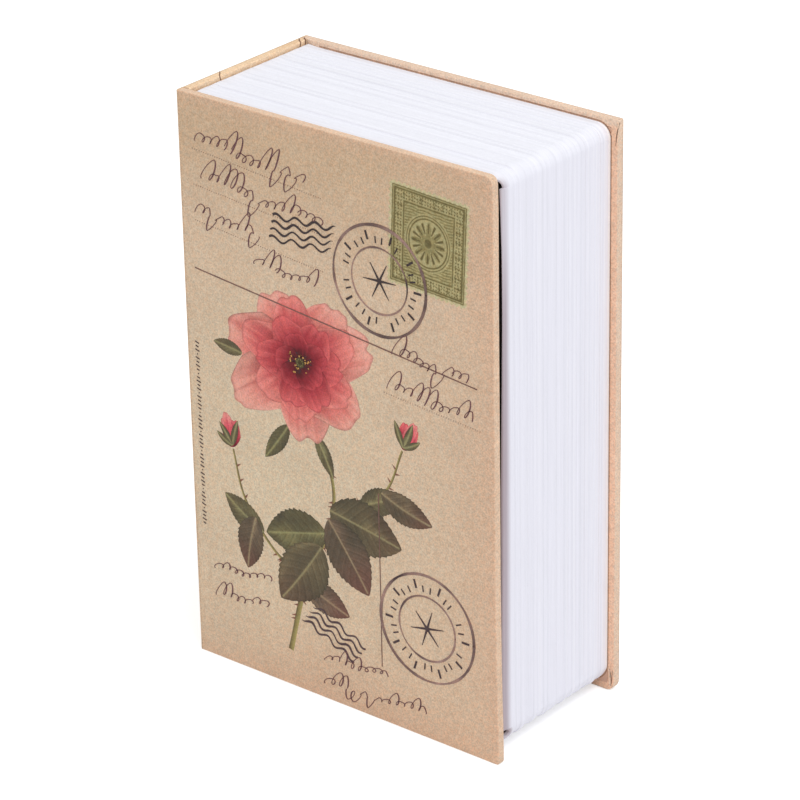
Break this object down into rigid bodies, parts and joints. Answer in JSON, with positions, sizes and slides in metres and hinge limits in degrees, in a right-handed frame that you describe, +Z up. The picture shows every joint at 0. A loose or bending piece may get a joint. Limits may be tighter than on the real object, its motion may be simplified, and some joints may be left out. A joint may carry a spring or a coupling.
{
  "type": "book diversion safe",
  "caption": "Small safe disguised as a hardback book: a printed case, a white moulded page block and a steel box with a hinged lid and a cam lock behind the front cover.",
  "frame": {"origin": "middle of the closed book's footprint, on the surface that it stands on", "axes": "+X from the spine to the fore edge, +Y from the front cover to the back cover, +Z up along the spine"},
  "size_m": [0.115, 0.057, 0.18],
  "materials": {
    "printed_paper": "matte printed paper",
    "grey_board": "raw grey board",
    "lining_paper": "matte paper",
    "white_plastic": "satin moulded plastic",
    "black_steel": "black powder coat",
    "zinc_steel": "zinc plated",
    "chrome": "polished",
    "brass": "bare sheet"
  },
  "bodies": {
    "book": {"spine_paper": "printed_paper", "spine_board": "grey_board", "spine_liner": "lining_paper", "back_cover_paper": "printed_paper", "back_cover_board": "grey_board", "back_endpaper": "lining_paper", "page_block_shell": "white_plastic", "box_pan": "black_steel", "lock_keeper": "zinc_steel", "lower_hinge_box_leaf": "zinc_steel", "lower_hinge_pin": "zinc_steel", "lower_hinge_box_rivet_a": "zinc_steel", "lower_hinge_box_rivet_b": "zinc_steel", "upper_hinge_box_leaf": "zinc_steel", "upper_hinge_pin": "zinc_steel", "upper_hinge_box_rivet_a": "zinc_steel", "upper_hinge_box_rivet_b": "zinc_steel"},
    "front_cover": {"front_cover_paper": "printed_paper", "front_cover_board": "grey_board", "front_endpaper": "lining_paper"},
    "lid": {"box_lid": "black_steel", "lock_housing": "chrome", "lock_nut": "zinc_steel", "lower_hinge_lid_leaf": "zinc_steel", "lower_hinge_lid_rivet_a": "zinc_steel", "lower_hinge_lid_rivet_b": "zinc_steel", "upper_hinge_lid_leaf": "zinc_steel", "upper_hinge_lid_rivet_a": "zinc_steel", "upper_hinge_lid_rivet_b": "zinc_steel"},
    "lock_barrel": {"lock_plug": "chrome", "lock_wafer_1": "brass", "lock_wafer_2": "brass", "lock_wafer_3": "brass", "lock_wafer_4": "brass", "lock_cam": "zinc_steel", "cam_washer": "zinc_steel", "cam_screw": "zinc_steel"}
  },
  "joints": [
    {"name": "front_cover_hinge", "type": "hinge", "parent": "book", "child": "front_cover", "pos_m": [-0.0575, -0.0285, 0.09], "axis": [0, 0, -1], "range_deg": [0, 180]},
    {"name": "lid_hinge", "type": "hinge", "parent": "book", "child": "lid", "pos_m": [-0.044, -0.0234, 0.0905], "axis": [0, 0, -1], "range_deg": [0, 100]},
    {"name": "cam_lock_turn", "type": "hinge", "parent": "lid", "child": "lock_barrel", "pos_m": [0.0343, -0.02, 0.0905], "axis": [0, 1, 0], "range_deg": [0, 90]}
  ],
  "couplings": [
    {"joint": "lid_hinge", "follows": "front_cover_hinge", "ratio": 0.55}
  ]
}
